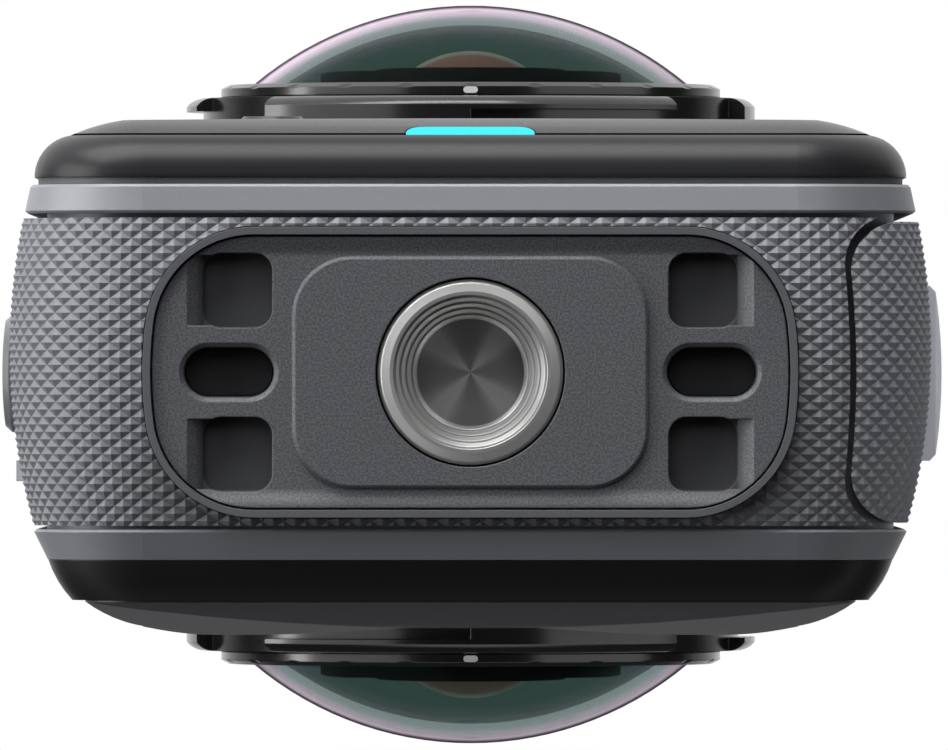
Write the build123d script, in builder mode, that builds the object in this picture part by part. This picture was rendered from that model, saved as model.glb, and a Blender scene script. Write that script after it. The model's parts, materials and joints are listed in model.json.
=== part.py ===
from build123d import *
import os
from math import asin, atan, cos, degrees, radians, sin, sqrt

# Pocket 360 degree camera: a flat upright body with one domed lens on each broad face.
# Millimetres. +Z runs up the body, -Y is the screen side, +X is the battery side.
# The origin is the middle of the base, on the surface that the camera stands on.
# "Reach" is the half width of the body's outline seen from the front. Every shell follows
# the same rounded outline, larger or smaller by its reach. Depths are stacked outwards from
# the core: from the web behind the screen, and from the deck under the rear lens.

# Body outline and core
body_height = 124.5
grip_reach = 21.8
grip_corner = 6.4
flat_corner = 0.2
stand_gap = 0.25
core_half = 8.3
overrun = 5.0
bevel_angle = 45.0
seat_gap = 0.05
slip_gap = 0.1
working_gap = 0.3

# Chassis
channel_depth = 1.8
wall_thickness = 1.6
front_lip_depth = 0.56
front_band_depth = 1.36
front_band_inset = 1.0
front_band_spread = 0.24
rear_lip_depth = 0.53
rear_band_depth = 1.43
rear_band_inset = 1.18
rear_band_taper = 0.65
band_break = 0.12
web_thickness = 1.0
web_window_r = 10.3
deck_margin = 3.5
bay_wall = 0.8
bay_left_gap = 4.8
bay_front_gap = 0.7
bay_height = 59.6

# Grip sleeve
channel_front_gap = 0.23
channel_back_gap = 0.18
sleeve_front_fall = 0.6
sleeve_back_fall = 1.1

# Bezel, its gasket and the front panel
gasket_depth = 0.34
gasket_inset = 0.18
bezel_inset = 1.2
bezel_lip_width = 1.6
bezel_step_width = 3.2
bezel_side_depth = 0.15
bezel_depth = 1.98
bezel_bulge = 0.41
panel_step_depth = 1.25
panel_rim_thickness = 0.75
panel_rise = 0.8
panel_crown = 0.11
panel_bulge = 0.155

# Rear band and rear cover
rear_frame_gap = 0.02
rear_frame_depth = 1.9
rear_frame_taper = 1.13
rear_frame_bulge = 0.12
rear_frame_width = 2.95
cover_inset = 0.62
cover_rim_thickness = 0.1
cover_crown_depth = 1.36
cover_flat_fall = 0.04
cover_bulge = 0.19
ridge_reach = 11.5
ridge_rise = 0.41
ridge_foot_z = 7.5
ridge_ramp = 10.0
plug_inset = 0.4
plug_corner = 1.0
plug_depth = 1.05
# Shares of the ridge's reach, and of its rise over the crown, from the middle to the ridge.
valley_shares = ((0.21, 0.03), (0.33, 0.24), (0.6, 0.75), (0.8, 0.95))
shoulder_shares = ((1.18, 0.82), (1.36, -0.05), (1.6, -1.6))

# Lens windows
lens_drop = 19.2
barrel_bore_r = 11.2
base_tube_wall = 2.1
base_rim = 0.57
base_height = 2.18
flange_gap = 0.12
window_seat_width = 1.0
window_seat_drop = 0.42
lug_length = 0.87
lug_lift = 1.48
lug_edge_drop = 0.45
lug_crown_inset = 0.12
lug_bulge = 0.144
lug_sector = 92.0
lug_slot = 46.0
lug_first = 224.0
lug_count = 3
ring_gap = 0.07
ring_height = 0.63
ring_overhang = 0.74
ring_bevel = 0.42
ring_skirt_gap = 0.15
ring_skirt_wall = 0.55
ring_ledge = 0.3
ring_ledge_width = 0.6
ring_lobes = 24
lobe_r = 2.2
lobe_rise = 1.6
lobe_stand_off = 1.15
dome_r = 17.5
dome_glass = 1.0
dome_edge_gap = 0.2
seal_space = 0.9
seal_r = 0.35
dot_length = 0.74
dot_width = 0.34
dot_depth = 0.3
dot_lift = 0.22

# Optics
barrel_gap = 0.8
barrel_foot_r = 8.0
barrel_collar_drop = 0.4
barrel_collar_lift = 0.7
barrel_shelf_r = 7.8
barrel_shelf_height = 1.65
barrel_step_width = 0.7
barrel_step_height = 0.25
element_r = 5.3
element_seat_r = 4.2
element_rise = 1.0
element_depth = 2.8
sensor_side = 17.0
sensor_thickness = 1.2
carrier_half = 1.8
carrier_height = 29.0
carrier_corner = 3.4

# Front buttons and the status light
front_button_x = 9.4
front_button_z = 11.5
front_button_r = 4.2
shutter_rise = 0.18
shutter_pad_r = 1.64
front_button_flange_r = 4.8
front_button_flange = 0.6
front_press = 0.3
light_half = 3.03
light_height = 1.0
light_corner = 0.85

# Side buttons, their board and switches
side_button_half = 2.9
side_button_rise = 1.2
side_button_bow = 0.15
side_button_bevel = 0.3
power_low_z = 46.0
power_length = 12.0
quick_length = 9.0
button_spacing = 3.5
post_half = 1.5
side_press = 0.25
board_stand_off = 1.8
board_thickness = 0.6
board_half = 4.0
board_low_margin = 2.0
board_high_margin = 2.5
rib_thickness = 1.0
switch_side = 4.0
switch_height = 0.9
plunger_r = 1.2
plunger_height = 0.1

# Battery, its textured cover and the latch
door_side_margin = 0.5
door_top_margin = 3.4
door_base_width = 3.65
door_edge_bow = 0.25
door_corner = 2.35
door_gap = 0.3
door_plug_margin = 0.4
door_plug_depth = 1.4
battery_gap = 0.8
battery_corner = 1.6
battery_seal_width = 0.25
battery_seal_length = 1.2
battery_seal_inset = 0.5
contact_width = 3.0
contact_length = 9.0
contact_height = 0.5
latch_half = 4.3
latch_low_z = 46.0
latch_length = 15.0
latch_sink = 0.8
latch_rise = 1.34
latch_bow = 0.3
latch_travel = 3.0
latch_bevel = 0.3
latch_rib_count = 3
latch_rib_pitch = 2.4
latch_rib_width = 0.9
latch_rib_depth = 0.3

# USB door, its pin and port
usb_half = 5.2
usb_pin_inset = 0.8
usb_pin_z = 21.3
usb_pin_r = 0.4
usb_pin_clearance = 0.04
usb_knuckle_r = 0.78
usb_knuckle_half = 4.05
usb_knuckle_gap = 0.15
usb_door_length = 15.7
usb_door_corner = 1.6
usb_notch = 0.95
port_lift = 8.3
port_half_y = 1.6
port_half_z = 4.5
port_wall = 0.3
port_depth = 6.0

# Base island
island_margin = 0.44
island_side_half = 2.3
island_bulge = 0.14
trim_width = 0.36
trim_gap = 0.1
plate_face_z = 0.3
plateau_width = 16.7
plateau_depth = 10.87
plateau_corner = 2.8
plateau_edge = 0.12
pocket_inset = 4.47
pocket_y = 3.85
pocket_width = 3.26
pocket_depth_y = 3.52
pocket_corner = 0.85
pocket_floor = 0.4
pocket_ramp = 0.8
pocket_ramp_depth = 0.75
oval_inset = 4.05
oval_length = 4.27
oval_width = 2.38
oval_rim = 0.2
magnet_margin = 0.1
magnet_height = 0.9
insert_r = 4.36
insert_mouth_r = 3.62
insert_foot_z = 0.08
insert_edge = 0.15
insert_height = 7.4
insert_roof = 1.28
insert_gap = 0.1
thread_r = 2.54
mouth_steps = 4
mouth_step_depth = 0.32
mouth_step_flat_share = 0.4
boss_r = 6.0
boss_roof = 0.67

# Screen, boards and small inner pieces
display_side_margin = 1.0
display_foot_margin = 2.7
display_corner = 2.5
board_drop = 2.5
main_board_low_z = 12.0
main_board_thickness = 1.0
chip_side = 11.0
chip_height = 0.2
chip_low_share = 0.62
chip_high_share = 0.86
spreader_thickness = 0.8
spreader_margin = 1.0
card_slot_width = 5.7
card_slot_height = 1.6
card_slot_length = 14.0
card_slot_gap = 0.15
card_slot_z = 47.0
speaker_width = 5.0
speaker_half = 4.0
speaker_length = 10.0
speaker_gap = 2.8
speaker_slot_length = 6.0
speaker_slot_width = 0.8
speaker_slot_pitch = 2.0
speaker_slot_count = 4
mic_x = 8.0
mic_length = 3.0
mic_width = 2.4
mic_height = 1.1
mic_hole_r = 0.45
screw_inset = 1.5
screw_boss_r = 1.6
screw_lug_r = 1.5
screw_lug_thickness = 0.9
screw_head_r = 1.0
screw_head_height = 0.6
screw_r = 0.5
screw_clearance = 0.05
screw_length = 2.0
screw_boss_height = 2.2
# Shares of the body's height at which the three pairs of screws sit.
screw_height_shares = (0.1, 0.53, 0.905)

# Reaches, worked out from the grip inwards
floor_reach = grip_reach - channel_depth
wall_inner_reach = floor_reach - wall_thickness
flat_reach = grip_reach - grip_corner + flat_corner
sleeve_front_reach = grip_reach - sleeve_front_fall
sleeve_back_reach = grip_reach - sleeve_back_fall
front_band_reach = grip_reach - front_band_inset
front_band_full_reach = front_band_reach + front_band_spread
rear_band_full_reach = grip_reach - rear_band_inset
rear_band_reach = rear_band_full_reach - rear_band_taper
bezel_reach = grip_reach - bezel_inset
bezel_lip_reach = bezel_reach - bezel_lip_width
bezel_inner_reach = bezel_reach - bezel_step_width
gasket_reach = bezel_reach - gasket_inset
panel_reach = bezel_lip_reach - slip_gap
rear_frame_reach = rear_band_reach - rear_frame_gap
rear_frame_back_reach = rear_frame_reach - rear_frame_taper
rear_frame_inner_reach = rear_frame_reach - rear_frame_width
cover_reach = rear_frame_back_reach - cover_inset
plug_reach = flat_reach - plug_inset
carrier_reach = wall_inner_reach - 2 * slip_gap
door_inner_reach = floor_reach + 2 * slip_gap

# Depths, worked out from the core outwards: to the front, then to the back
web_front_y = -core_half
gasket_back_y = web_front_y - front_lip_depth
front_band_back_y = gasket_back_y + front_band_depth
sleeve_front_y = front_band_back_y + channel_front_gap
bezel_back_y = gasket_back_y - gasket_depth
bezel_side_y = bezel_back_y - bezel_side_depth
bezel_lip_y = bezel_back_y - bezel_depth
panel_back_y = bezel_back_y - panel_step_depth
panel_rim_y = panel_back_y - panel_rim_thickness
panel_face_y = panel_rim_y - panel_rise
deck_back_y = core_half
rear_band_back_y = deck_back_y + rear_lip_depth
rear_band_front_y = rear_band_back_y - rear_band_depth
sleeve_back_y = rear_band_front_y - channel_back_gap
rear_frame_front_y = rear_band_back_y + rear_frame_gap
rear_frame_back_y = rear_frame_front_y + rear_frame_depth
cover_rim_y = rear_frame_back_y + cover_rim_thickness
cover_crown_y = rear_frame_back_y + cover_crown_depth
cover_flat_y = cover_crown_y - cover_flat_fall
ridge_y = cover_crown_y + ridge_rise
plug_front_y = rear_frame_back_y - plug_depth
bay_half = core_half - web_thickness - bay_front_gap

# Lens windows: radii, then heights measured outwards from the body's middle plane
lens_z = body_height - lens_drop
base_tube_r = barrel_bore_r + base_tube_wall
base_r = base_tube_r + base_rim
lug_r = base_r + lug_length
lug_crown_r = base_r - lug_crown_inset
window_bore_r = barrel_bore_r + window_seat_width
ring_r = window_bore_r + ring_overhang
ring_skirt_r = window_bore_r - ring_skirt_gap
ring_skirt_inner_r = ring_skirt_r - ring_skirt_wall
dome_edge_r = ring_skirt_inner_r - dome_edge_gap
ring_ledge_r = dome_edge_r - ring_ledge_width
barrel_r = web_window_r - barrel_gap
barrel_collar_r = barrel_bore_r - working_gap
base_foot = core_half
base_flange = flange_gap - panel_face_y
base_top = base_flange + base_height
window_ledge = base_flange - window_seat_drop
lug_under = base_flange + lug_lift
lug_edge = base_top - lug_edge_drop
ring_foot = base_top + ring_gap
ring_top = ring_foot + ring_height
ring_skirt_foot = window_ledge + seal_space
dot_height = ring_foot + dot_lift
dome_foot = base_top
dome_centre = ring_top - sqrt(dome_r**2 - dome_edge_r**2)
barrel_foot = carrier_half + sensor_thickness
barrel_waist = core_half - web_thickness - working_gap
barrel_collar_foot = base_foot + barrel_collar_lift
barrel_collar_top = dome_foot - barrel_collar_drop
barrel_shelf = barrel_collar_top + barrel_shelf_height
barrel_step = barrel_shelf + barrel_step_height
barrel_step_r = element_seat_r + barrel_step_width
element_foot = barrel_step - element_depth
element_top = barrel_step + element_rise

# Places on the two sides
side_button_face_x = -grip_reach - side_button_rise
side_button_edge_x = side_button_face_x + side_button_bow
quick_low_z = power_low_z + power_length + button_spacing
board_x = board_stand_off - wall_inner_reach
board_low_z = power_low_z - board_low_margin
board_high_z = quick_low_z + quick_length + board_high_margin
usb_pin_x = usb_pin_inset - grip_reach
usb_ear_inner = usb_knuckle_half + usb_knuckle_gap
usb_door_top_z = usb_pin_z + usb_door_length
port_z = usb_pin_z + port_lift
port_mouth_x = 2 * slip_gap - floor_reach
bay_left_x = board_x + board_thickness + bay_left_gap
bay_low_z = insert_foot_z + insert_height + seat_gap + boss_roof + bay_wall
door_half = bay_half + door_side_margin
door_edge_x = grip_reach - door_base_width
door_edge_corner_x = door_edge_x - door_edge_bow
door_top_z = bay_low_z + bay_height + door_top_margin
door_plug_x = wall_inner_reach - door_plug_depth
battery_seal_x = wall_inner_reach + battery_seal_inset
latch_back_x = grip_reach - latch_sink
latch_face_x = grip_reach + latch_rise
latch_edge_x = latch_face_x - latch_bow

# Base island, as wide as the flat of the base
island_half = grip_reach - grip_corner
island_depth_half = -sleeve_front_y - island_margin
plate_top_z = stand_gap + channel_depth - seat_gap
pocket_depth = plate_top_z - pocket_floor - plate_face_z
pocket_x = island_half - pocket_inset
oval_x = island_half - oval_inset
thread_end_z = insert_foot_z + insert_height - insert_roof

# Boards and screen, between the base and the deck
screw_x = wall_inner_reach - screw_inset
deck_foot_z = lens_z - base_tube_r - deck_margin
board_top_z = deck_foot_z - board_drop
display_half = bezel_inner_reach - display_side_margin
display_low_z = front_button_z + front_button_flange_r + display_foot_margin
display_height = board_top_z - display_low_z
main_board_half = screw_x - screw_boss_r - working_gap
main_board_height = board_top_z - main_board_low_z
main_board_front_y = deck_back_y - seat_gap - main_board_thickness
card_slot_x = bay_left_x - bay_wall - card_slot_gap - card_slot_width / 2
speaker_z = lens_z - carrier_height / 2 - speaker_gap - speaker_length / 2


def foot(reach):
    """Height of the outline's lowest line at this reach."""
    return stand_gap + grip_reach - reach


def crest(reach):
    """Height of the outline's highest line at this reach."""
    return body_height - (grip_reach - reach)


def bend(reach):
    """Corner radius of the outline at this reach."""
    return grip_corner - (grip_reach - reach)


def at(depth_y, reach):
    """Point of a wall section, drawn where the section crosses the bottom of the body."""
    return (depth_y, foot(reach))


def loop_outline(reach, corner=None):
    """Rounded outline of the body at this reach, for a sketch on a front plane."""
    height = crest(reach) - foot(reach)
    with Locations((0, foot(reach) + height / 2)):
        RectangleRounded(2 * reach, height, bend(reach) if corner is None else corner)


def front_plane(depth_y):
    """Plane across the body at this depth, facing the screen side."""
    return Plane.XZ.offset(-depth_y)


def box_between(low, high, mode=Mode.ADD):
    """Box with its corners at low and high."""
    middle = tuple((a + b) / 2 for a, b in zip(low, high))
    sides = [b - a for a, b in zip(low, high)]
    with Locations(middle):
        Box(*sides, mode=mode)


with BuildLine(Plane.XZ) as half_loop:
    FilletPolyline(
        (0, foot(floor_reach)),
        (floor_reach, foot(floor_reach)),
        (floor_reach, crest(floor_reach)),
        (0, crest(floor_reach)),
        radius=bend(floor_reach),
    )


def sweep_round_body(section=None):
    """Carry the drawn wall section round one half of the body, and mirror it."""
    sweep(section, path=half_loop.wire())
    mirror(about=Plane.YZ)


def grip_section(inner_reach):
    """Wall section of the crowned grip, down to this inner reach."""
    with BuildSketch(Plane.YZ) as section:
        with BuildLine():
            crown = ThreePointArc(
                at(sleeve_front_y, sleeve_front_reach),
                at(0, grip_reach),
                at(sleeve_back_y, sleeve_back_reach),
            )
            Polyline(
                crown @ 1,
                at(sleeve_back_y, inner_reach),
                at(sleeve_front_y, inner_reach),
                crown @ 0,
            )
        make_face()
    return section.sketch


def island_face(half_width, half_depth):
    """Base island: straight long sides, round corners and slightly bulged short sides."""
    lean = 2 * atan(island_bulge / island_side_half)
    corner = (half_depth - island_side_half) / (1 - sin(lean))
    with BuildLine() as outline:
        side = ThreePointArc(
            (half_width - island_bulge, -island_side_half),
            (half_width, 0),
            (half_width - island_bulge, island_side_half),
        )
        turn = JernArc(side @ 1, side % 1, corner, 90 - degrees(lean))
        Line(turn @ 1, (0, half_depth))
        low_turn = mirror(turn, about=Plane.XZ)
        Line(low_turn @ 1, (0, -half_depth))
        mirror(about=Plane.YZ)
    make_face(outline.edges())


def door_zone(growth):
    """Space of the battery cover, grown by a gap: down the side and round on to the base."""
    half = door_half + growth
    edge = door_edge_x - growth
    edge_corner = door_edge_corner_x - growth
    straight = half - door_corner
    with BuildPart() as zone:
        with BuildSketch(Plane.XY.offset(-overrun)):
            with BuildLine():
                bow = ThreePointArc((edge_corner, -straight), (edge, 0), (edge_corner, straight))
                upper = JernArc(bow @ 1, (0, 1), door_corner, -90)
                lower = JernArc(bow @ 0, (0, -1), door_corner, 90)
                Polyline(
                    upper @ 1,
                    (grip_reach + overrun, half),
                    (grip_reach + overrun, -half),
                    lower @ 1,
                )
            make_face()
        extrude(amount=door_top_z + growth + overrun)
        with BuildSketch(Plane.YZ):
            with Locations((0, (door_top_z + growth - overrun) / 2)):
                Rectangle(2 * half, door_top_z + growth + overrun)
            fillet(vertices().group_by(Axis.Y)[-1], door_corner)
        extrude(amount=grip_reach + overrun, mode=Mode.INTERSECT)
    return zone.part


def front_hole(x, z, radius, from_y, depth):
    """Round hole through a front piece."""
    with BuildSketch(front_plane(from_y)) as hole:
        with Locations((x, z)):
            Circle(radius)
    extrude(hole.sketch, amount=depth, mode=Mode.SUBTRACT)


def side_slots(from_x, depth):
    """Speaker slots through the left side."""
    with BuildSketch(Plane.YZ.offset(from_x)) as slots:
        with Locations((0, speaker_z)):
            with GridLocations(0, speaker_slot_pitch, 1, speaker_slot_count):
                SlotOverall(speaker_slot_length, speaker_slot_width)
    extrude(slots.sketch, amount=depth, mode=Mode.SUBTRACT)


def screw_places():
    """Places of the frame screws, as points of the front view."""
    return [
        (side * screw_x, share * body_height)
        for share in screw_height_shares
        for side in (-1, 1)
    ]


# Front bezel: a rounded rim that holds the front panel in a step.
with BuildPart() as front_frame:
    with BuildSketch(Plane.YZ):
        with BuildLine():
            brow = SagittaArc(
                at(bezel_side_y, bezel_reach), at(bezel_lip_y, bezel_lip_reach), bezel_bulge
            )
            Polyline(
                brow @ 1,
                at(panel_back_y + seat_gap, bezel_lip_reach),
                at(panel_back_y + seat_gap, bezel_inner_reach),
                at(bezel_back_y, bezel_inner_reach),
                at(bezel_back_y, bezel_reach),
                brow @ 0,
            )
        make_face()
    sweep_round_body()

# Gasket between the bezel and the chassis, set back to leave a dark line.
with BuildPart() as front_gasket:
    with BuildSketch(Plane.YZ):
        with BuildLine():
            Polyline(
                at(bezel_back_y, bezel_inner_reach),
                at(bezel_back_y, gasket_reach),
                at(gasket_back_y, gasket_reach),
                at(gasket_back_y, bezel_inner_reach),
                close=True,
            )
        make_face()
    sweep_round_body()


def panel_blank():
    """Front panel before its openings: crowned from side to side, with edges that round over."""
    with BuildPart() as blank:
        with BuildSketch(Plane.YZ):
            with BuildLine():
                round_over = SagittaArc(
                    at(panel_rim_y, panel_reach), at(panel_face_y, flat_reach), panel_bulge
                )
                Polyline(
                    round_over @ 1,
                    at(panel_back_y, flat_reach),
                    at(panel_back_y, panel_reach),
                    round_over @ 0,
                )
            make_face()
        sweep_round_body()
        with BuildSketch(front_plane(panel_back_y)):
            loop_outline(flat_reach)
        extrude(amount=panel_back_y - panel_face_y)
        with BuildSketch(Plane.XY.offset(-overrun)):
            with BuildLine():
                crown = ThreePointArc(
                    (-panel_reach, panel_face_y + panel_crown),
                    (0, panel_face_y),
                    (panel_reach, panel_face_y + panel_crown),
                )
                Polyline(crown @ 1, (panel_reach, panel_back_y), (-panel_reach, panel_back_y), crown @ 0)
            make_face()
        extrude(amount=body_height + 2 * overrun, mode=Mode.INTERSECT)
    return blank.part


def light_notch(growth):
    """Space of the status light in the panel's lower edge."""
    with BuildPart() as notch:
        with BuildSketch(front_plane(panel_back_y)):
            low = foot(panel_reach) - overrun
            high = foot(panel_reach) + light_height + growth
            with Locations((0, (low + high) / 2)):
                Rectangle(2 * (light_half + growth), high - low)
            fillet(vertices().group_by(Axis.Y)[-1], light_corner)
        extrude(amount=overrun, both=True)
    return notch.part


with BuildPart() as front_panel:
    add(panel_blank())
    add(light_notch(seat_gap), mode=Mode.SUBTRACT)
    front_hole(0, lens_z, base_tube_r + slip_gap, panel_back_y + overrun, 2 * overrun)
    for side in (-1, 1):
        hole_r = front_button_r + slip_gap
        front_hole(side * front_button_x, front_button_z, hole_r, panel_back_y + overrun, 2 * overrun)

with BuildPart() as status_light:
    add(panel_blank())
    add(light_notch(0), mode=Mode.INTERSECT)

# Chassis: a ring with two outer bands, a channel for the grip between them, a web behind
# the screen, a deck for the rear lens, and the battery bay, open on the right.
with BuildPart() as mid_frame:
    with BuildSketch(Plane.YZ):
        with BuildLine():
            Polyline(
                at(gasket_back_y, wall_inner_reach),
                at(gasket_back_y, front_band_reach - band_break),
                at(gasket_back_y + band_break, front_band_reach),
                at(front_band_back_y - band_break, front_band_full_reach),
                at(front_band_back_y, front_band_full_reach - band_break),
                at(front_band_back_y, floor_reach),
                at(rear_band_front_y, floor_reach),
                at(rear_band_front_y, rear_band_full_reach - band_break),
                at(rear_band_front_y + band_break, rear_band_full_reach),
                at(rear_band_back_y, rear_band_reach),
                at(rear_band_back_y, wall_inner_reach),
                close=True,
            )
        make_face()
    sweep_round_body()
    web_reach = wall_inner_reach + bay_wall / 2
    with BuildSketch(front_plane(web_front_y + web_thickness)):
        loop_outline(web_reach)
        with Locations((0, lens_z)):
            Circle(web_window_r, mode=Mode.SUBTRACT)
    extrude(amount=web_thickness)
    with BuildSketch(front_plane(deck_back_y)):
        loop_outline(web_reach)
        with Locations((0, deck_foot_z + body_height / 2)):
            Rectangle(2 * grip_reach, body_height, mode=Mode.INTERSECT)
        with Locations((0, lens_z)):
            Circle(web_window_r, mode=Mode.SUBTRACT)
    extrude(amount=web_thickness)
    # Battery bay
    bay_top_z = bay_low_z + bay_height
    box_between(
        (bay_left_x - bay_wall, web_front_y + web_thickness / 2, bay_low_z - bay_wall),
        (web_reach, bay_half + bay_wall / 2, bay_top_z + bay_wall),
    )
    box_between(
        (bay_left_x, -bay_half, bay_low_z),
        (grip_reach + overrun, bay_half, bay_top_z),
        mode=Mode.SUBTRACT,
    )
    # Tripod boss, between the bottom wall and the bay
    with BuildSketch(Plane.XY.offset(foot(floor_reach) + web_thickness / 2)):
        Circle(boss_r)
    extrude(amount=bay_low_z - bay_wall / 2 - foot(floor_reach) - web_thickness / 2)
    with BuildSketch(Plane.XY.offset(-overrun)):
        Circle(insert_r + seat_gap)
    extrude(amount=overrun + insert_foot_z + insert_height + seat_gap, mode=Mode.SUBTRACT)
    # Pockets for the two base magnets
    with BuildSketch(Plane.XY.offset(-overrun)):
        with Locations((-oval_x, 0), (oval_x, 0)):
            SlotOverall(oval_length - magnet_margin, oval_width - magnet_margin)
    extrude(amount=overrun + foot(floor_reach) + magnet_height, mode=Mode.SUBTRACT)
    # Screw bosses behind the rear band
    with BuildSketch(front_plane(rear_band_back_y)):
        with Locations(*screw_places()):
            Circle(screw_boss_r)
    extrude(amount=screw_boss_height)
    with BuildSketch(front_plane(rear_band_back_y)):
        with Locations(*screw_places()):
            Circle(screw_r + screw_clearance)
    extrude(amount=screw_length, mode=Mode.SUBTRACT)
    # Ribs for the side board, and holes for the side buttons' posts
    for rib_z in (board_low_z - rib_thickness, board_high_z):
        box_between(
            (-web_reach, -board_half, rib_z),
            (board_x + board_thickness, board_half, rib_z + rib_thickness),
        )
    for low_z, length in ((power_low_z, power_length), (quick_low_z, quick_length)):
        box_between(
            (-grip_reach, -post_half - slip_gap, low_z + length / 4 - slip_gap),
            (-wall_inner_reach + seat_gap, post_half + slip_gap, low_z + length * 3 / 4 + slip_gap),
            mode=Mode.SUBTRACT,
        )
    # USB mouth, and the ears that carry the door's pin
    box_between(
        (-grip_reach, -port_half_y - slip_gap, port_z - port_half_z - slip_gap),
        (-wall_inner_reach + seat_gap, port_half_y + slip_gap, port_z + port_half_z + slip_gap),
        mode=Mode.SUBTRACT,
    )
    for ear_y in (-usb_half, usb_ear_inner):
        with BuildSketch(Plane.XZ.offset(-ear_y - usb_half + usb_ear_inner)):
            with Locations((usb_pin_x, usb_pin_z)):
                Circle(usb_knuckle_r)
            with Locations(((usb_pin_x - floor_reach + bay_wall) / 2, usb_pin_z)):
                Rectangle(-usb_pin_x - floor_reach + bay_wall, 2 * usb_knuckle_r)
        extrude(amount=usb_half - usb_ear_inner)
    with BuildSketch(Plane.XZ.offset(-usb_half - overrun)):
        with Locations((usb_pin_x, usb_pin_z)):
            Circle(usb_pin_r + usb_pin_clearance)
    extrude(amount=2 * (usb_half + overrun), mode=Mode.SUBTRACT)
    # Speaker slots and microphone holes
    side_slots(-floor_reach - overrun, floor_reach - wall_inner_reach + overrun + seat_gap)
    with BuildSketch(Plane.XY.offset(crest(wall_inner_reach) - seat_gap)):
        with Locations((-mic_x, 0), (mic_x, 0)):
            Circle(mic_hole_r)
    extrude(amount=overrun, mode=Mode.SUBTRACT)

# Grip sleeve in the chassis's channel, open for the base, the battery cover, the USB door,
# the side buttons, the speaker and the microphones.
with BuildPart() as grip_sleeve:
    sweep_round_body(grip_section(floor_reach + seat_gap))
    with BuildSketch(Plane.XY.offset(-overrun)):
        island_face(island_half + seat_gap, island_depth_half + seat_gap)
    extrude(amount=overrun + foot(floor_reach) + seat_gap, mode=Mode.SUBTRACT)
    add(door_zone(door_gap), mode=Mode.SUBTRACT)
    with BuildSketch(Plane.YZ.offset(-grip_reach - overrun)):
        usb_low_z = usb_pin_z - usb_knuckle_r
        with Locations((0, (usb_low_z + usb_door_top_z) / 2)):
            usb_gap = 2 * slip_gap
            RectangleRounded(
                2 * (usb_half + usb_gap), usb_door_top_z - usb_low_z + 2 * usb_gap, usb_knuckle_r
            )
        for low_z, length in ((power_low_z, power_length), (quick_low_z, quick_length)):
            with Locations((0, low_z + length / 2)):
                hole = 2 * (side_button_half + slip_gap)
                RectangleRounded(hole, length + 2 * slip_gap, hole / 2 - side_button_bevel)
    extrude(amount=overrun + grip_reach - wall_inner_reach, mode=Mode.SUBTRACT)
    side_slots(-grip_reach - overrun, overrun + grip_reach - wall_inner_reach)
    with BuildSketch(Plane.XY.offset(crest(wall_inner_reach))):
        with Locations((-mic_x, 0), (mic_x, 0)):
            Circle(mic_hole_r)
    extrude(amount=overrun, mode=Mode.SUBTRACT)

# Black band behind the grip, with lugs for the frame screws.
with BuildPart() as rear_frame:
    with BuildSketch(Plane.YZ):
        with BuildLine():
            shoulder = SagittaArc(
                at(rear_frame_back_y, rear_frame_back_reach),
                at(rear_frame_front_y, rear_frame_reach),
                rear_frame_bulge,
            )
            Polyline(
                shoulder @ 1,
                at(rear_frame_front_y, rear_frame_inner_reach),
                at(rear_frame_back_y, rear_frame_inner_reach),
                shoulder @ 0,
            )
        make_face()
    sweep_round_body()
    lug_back_y = rear_frame_front_y + screw_lug_thickness
    with BuildSketch(front_plane(lug_back_y)):
        with Locations(*screw_places()):
            Circle(screw_lug_r)
    extrude(amount=screw_lug_thickness)
    with BuildSketch(front_plane(lug_back_y + overrun)):
        with Locations(*screw_places()):
            Circle(screw_head_r + screw_clearance)
    extrude(amount=overrun, mode=Mode.SUBTRACT)
    with BuildSketch(front_plane(lug_back_y)):
        with Locations(*screw_places()):
            Circle(screw_r + screw_clearance)
    extrude(amount=screw_lug_thickness, mode=Mode.SUBTRACT)

with BuildPart() as frame_screws:
    with BuildSketch(front_plane(lug_back_y + screw_head_height)):
        with Locations(*screw_places()):
            Circle(screw_head_r)
    extrude(amount=screw_head_height)
    with BuildSketch(front_plane(lug_back_y)):
        with Locations(*screw_places()):
            Circle(screw_r)
    extrude(amount=screw_lug_thickness + screw_length - screw_clearance)


# Rear cover. Its back is crowned from side to side. Two low ridges stand on the crown, one
# each side of a shallow valley, and run up from a ramp near the bottom past the lens.
def ridge_points():
    """Points of the ridges' section, right half, from the middle outwards."""
    shares = ((0, 0), *valley_shares, (1, 1), *shoulder_shares)
    return [(a * ridge_reach, cover_crown_y + b * ridge_rise) for a, b in shares]


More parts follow.
